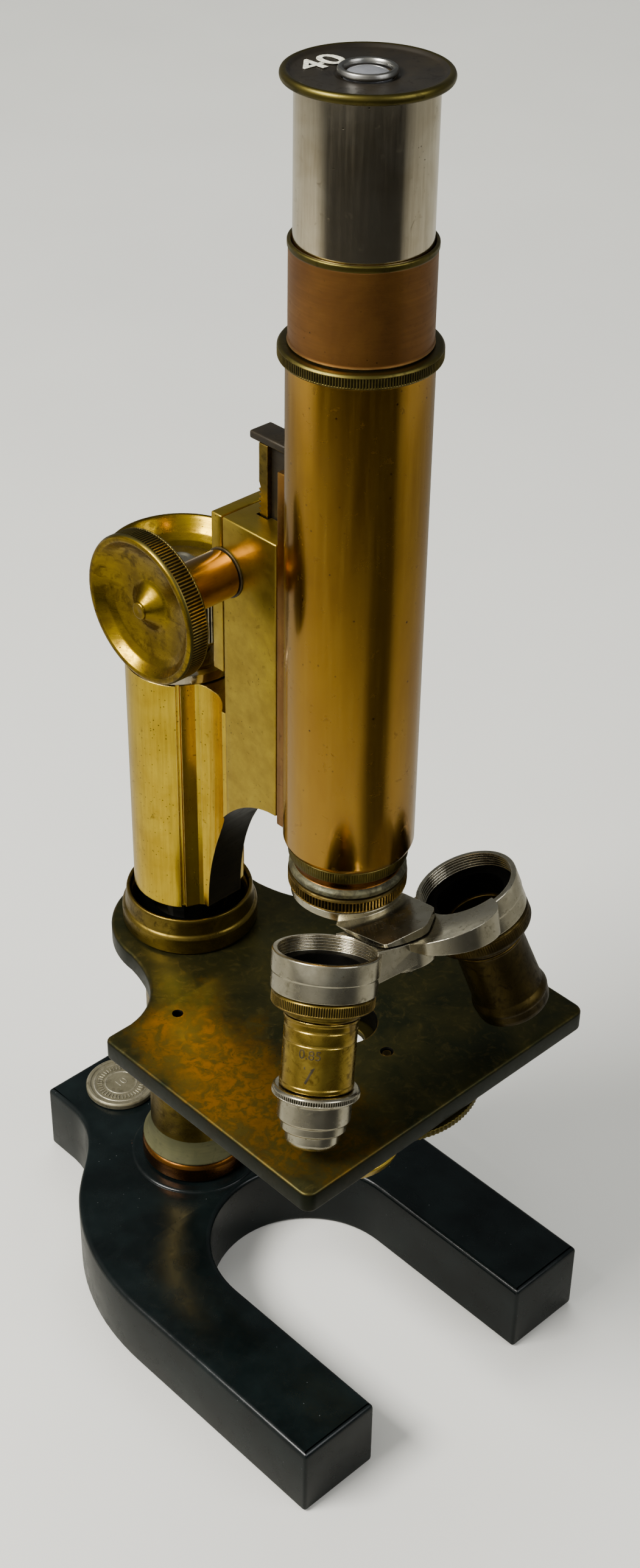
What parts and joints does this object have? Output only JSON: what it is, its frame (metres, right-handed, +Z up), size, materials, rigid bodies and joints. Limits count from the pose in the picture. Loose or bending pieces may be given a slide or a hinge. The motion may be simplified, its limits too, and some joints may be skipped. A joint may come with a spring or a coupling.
{
  "type": "compound microscope",
  "caption": "Brass compound microscope on a black horseshoe foot, with a square stage, rack-and-pinion coarse focus, a micrometer fine focus, a draw tube and a revolving nosepiece",
  "frame": {"origin": "middle of the footprint on the table, at the underside of the foot", "axes": "+Z up along the tube axis, -Y the open front of the foot, X across the stage and along the coarse-focus pinion"},
  "size_m": [0.093, 0.1348, 0.3148],
  "materials": {
    "black_enamel": "gloss, with small chips",
    "steel": "turned",
    "nickel": "worn nickel plate",
    "copper_brass": "reddish aged lacquer",
    "brown_brass": "brown tarnish",
    "patinated_brass": "dark green-brown patina",
    "satin_brass": "satin, scratched",
    "yellow_brass": "polished, speckled",
    "lacquered_brass": "polished golden lacquer",
    "blackened_brass": "blackened, worn at the edges",
    "silvered_glass": "silvered",
    "lens_glass": "clear, polished"
  },
  "bodies": {
    "stand": {"foot": "black_enamel", "foot_bolt": "steel", "heel_plaque": "nickel", "pillar_base_ring": "copper_brass", "pillar": "brown_brass", "stage": "patinated_brass", "stage_collar": "brown_brass", "aperture_disc_screw": "brown_brass", "mirror_bracket": "brown_brass", "prism_bar": "steel"},
    "aperture_disc": {"aperture_disc": "patinated_brass"},
    "mirror_fork": {"mirror_fork": "brown_brass"},
    "mirror": {"mirror_frame": "satin_brass", "mirror_glass": "silvered_glass"},
    "limb": {"limb_sleeve": "yellow_brass", "limb_cap": "nickel", "fine_spring": "steel", "rack_block": "satin_brass", "block_back_plate": "satin_brass", "back_plate_screw_lower": "brown_brass", "back_plate_screw_upper": "brown_brass"},
    "fine_head": {"micrometer_screw": "steel", "fine_focus_head": "yellow_brass", "fine_focus_cap": "nickel"},
    "coarse_pinion": {"pinion": "steel", "coarse_knob_left": "yellow_brass", "coarse_knob_right": "yellow_brass"},
    "body_tube": {"main_tube": "lacquered_brass", "rack_slide": "brown_brass", "rack_stop_plate": "patinated_brass", "tube_top_ring": "patinated_brass", "drawtube_guide": "copper_brass", "tube_adapter": "patinated_brass", "nosepiece_lock_ring": "patinated_brass", "nosepiece_fixed_plate": "nickel"},
    "drawtube": {"drawtube": "nickel"},
    "eyepiece": {"eyepiece_tube": "nickel", "eyepiece_cap": "blackened_brass", "eye_lens_ring": "nickel", "eye_lens": "lens_glass", "field_lens": "lens_glass"},
    "nosepiece": {"nosepiece_arm": "nickel", "nosepiece_pivot_screw": "nickel", "objective_a_collar": "brown_brass", "objective_a_barrel": "yellow_brass", "objective_a_nose": "nickel", "objective_a_lens": "lens_glass", "objective_b_collar": "brown_brass", "objective_b_barrel": "brown_brass", "objective_b_lens": "lens_glass"}
  },
  "joints": [
    {"name": "fine_focus_turn", "type": "hinge", "parent": "stand", "child": "fine_head", "pos_m": [0, 0.02363, 0.19], "axis": [0, 0, 1], "range_deg": [-1153, 576.5]},
    {"name": "fine_focus_slide", "type": "slide", "parent": "stand", "child": "limb", "axis": [0, 0, 1], "range_m": [-0.0008, 0.0016]},
    {"name": "coarse_focus_slide", "type": "slide", "parent": "limb", "child": "body_tube", "axis": [0, 0, 1], "range_m": [0, 0.04]},
    {"name": "coarse_focus_turn", "type": "hinge", "parent": "limb", "child": "coarse_pinion", "pos_m": [0, -0.00108, 0.2071], "axis": [-1, 0, 0], "range_deg": [0, 675]},
    {"name": "drawtube_slide", "type": "slide", "parent": "body_tube", "child": "drawtube", "axis": [0, 0, 1], "range_m": [0, 0.03]},
    {"name": "eyepiece_lift", "type": "slide", "parent": "drawtube", "child": "eyepiece", "axis": [0, 0, 1], "range_m": [0, 0.045]},
    {"name": "nosepiece_turn", "type": "hinge", "parent": "body_tube", "child": "nosepiece", "pos_m": [-0.00279, -0.0476, 0.14153], "axis": [-0.0414, -0.2676, -0.9626], "range_deg": [-86.4, 5]},
    {"name": "aperture_disc_turn", "type": "hinge", "parent": "stand", "child": "aperture_disc", "pos_m": [0, -0.04347, 0.0921], "axis": [0, 0, 1], "continuous": true},
    {"name": "mirror_swing", "type": "hinge", "parent": "stand", "child": "mirror_fork", "pos_m": [0, -0.006, 0.067], "axis": [0, 1, 0], "range_deg": [-90, 90]},
    {"name": "mirror_tilt", "type": "hinge", "parent": "mirror_fork", "child": "mirror", "pos_m": [0, -0.02958, 0.067], "axis": [1, 0, 0], "range_deg": [-110, 110]}
  ],
  "couplings": [
    {"joint": "fine_focus_turn", "follows": "fine_focus_slide", "rad_per_m": -12566},
    {"joint": "coarse_focus_turn", "follows": "coarse_focus_slide", "rad_per_m": 294.12}
  ]
}
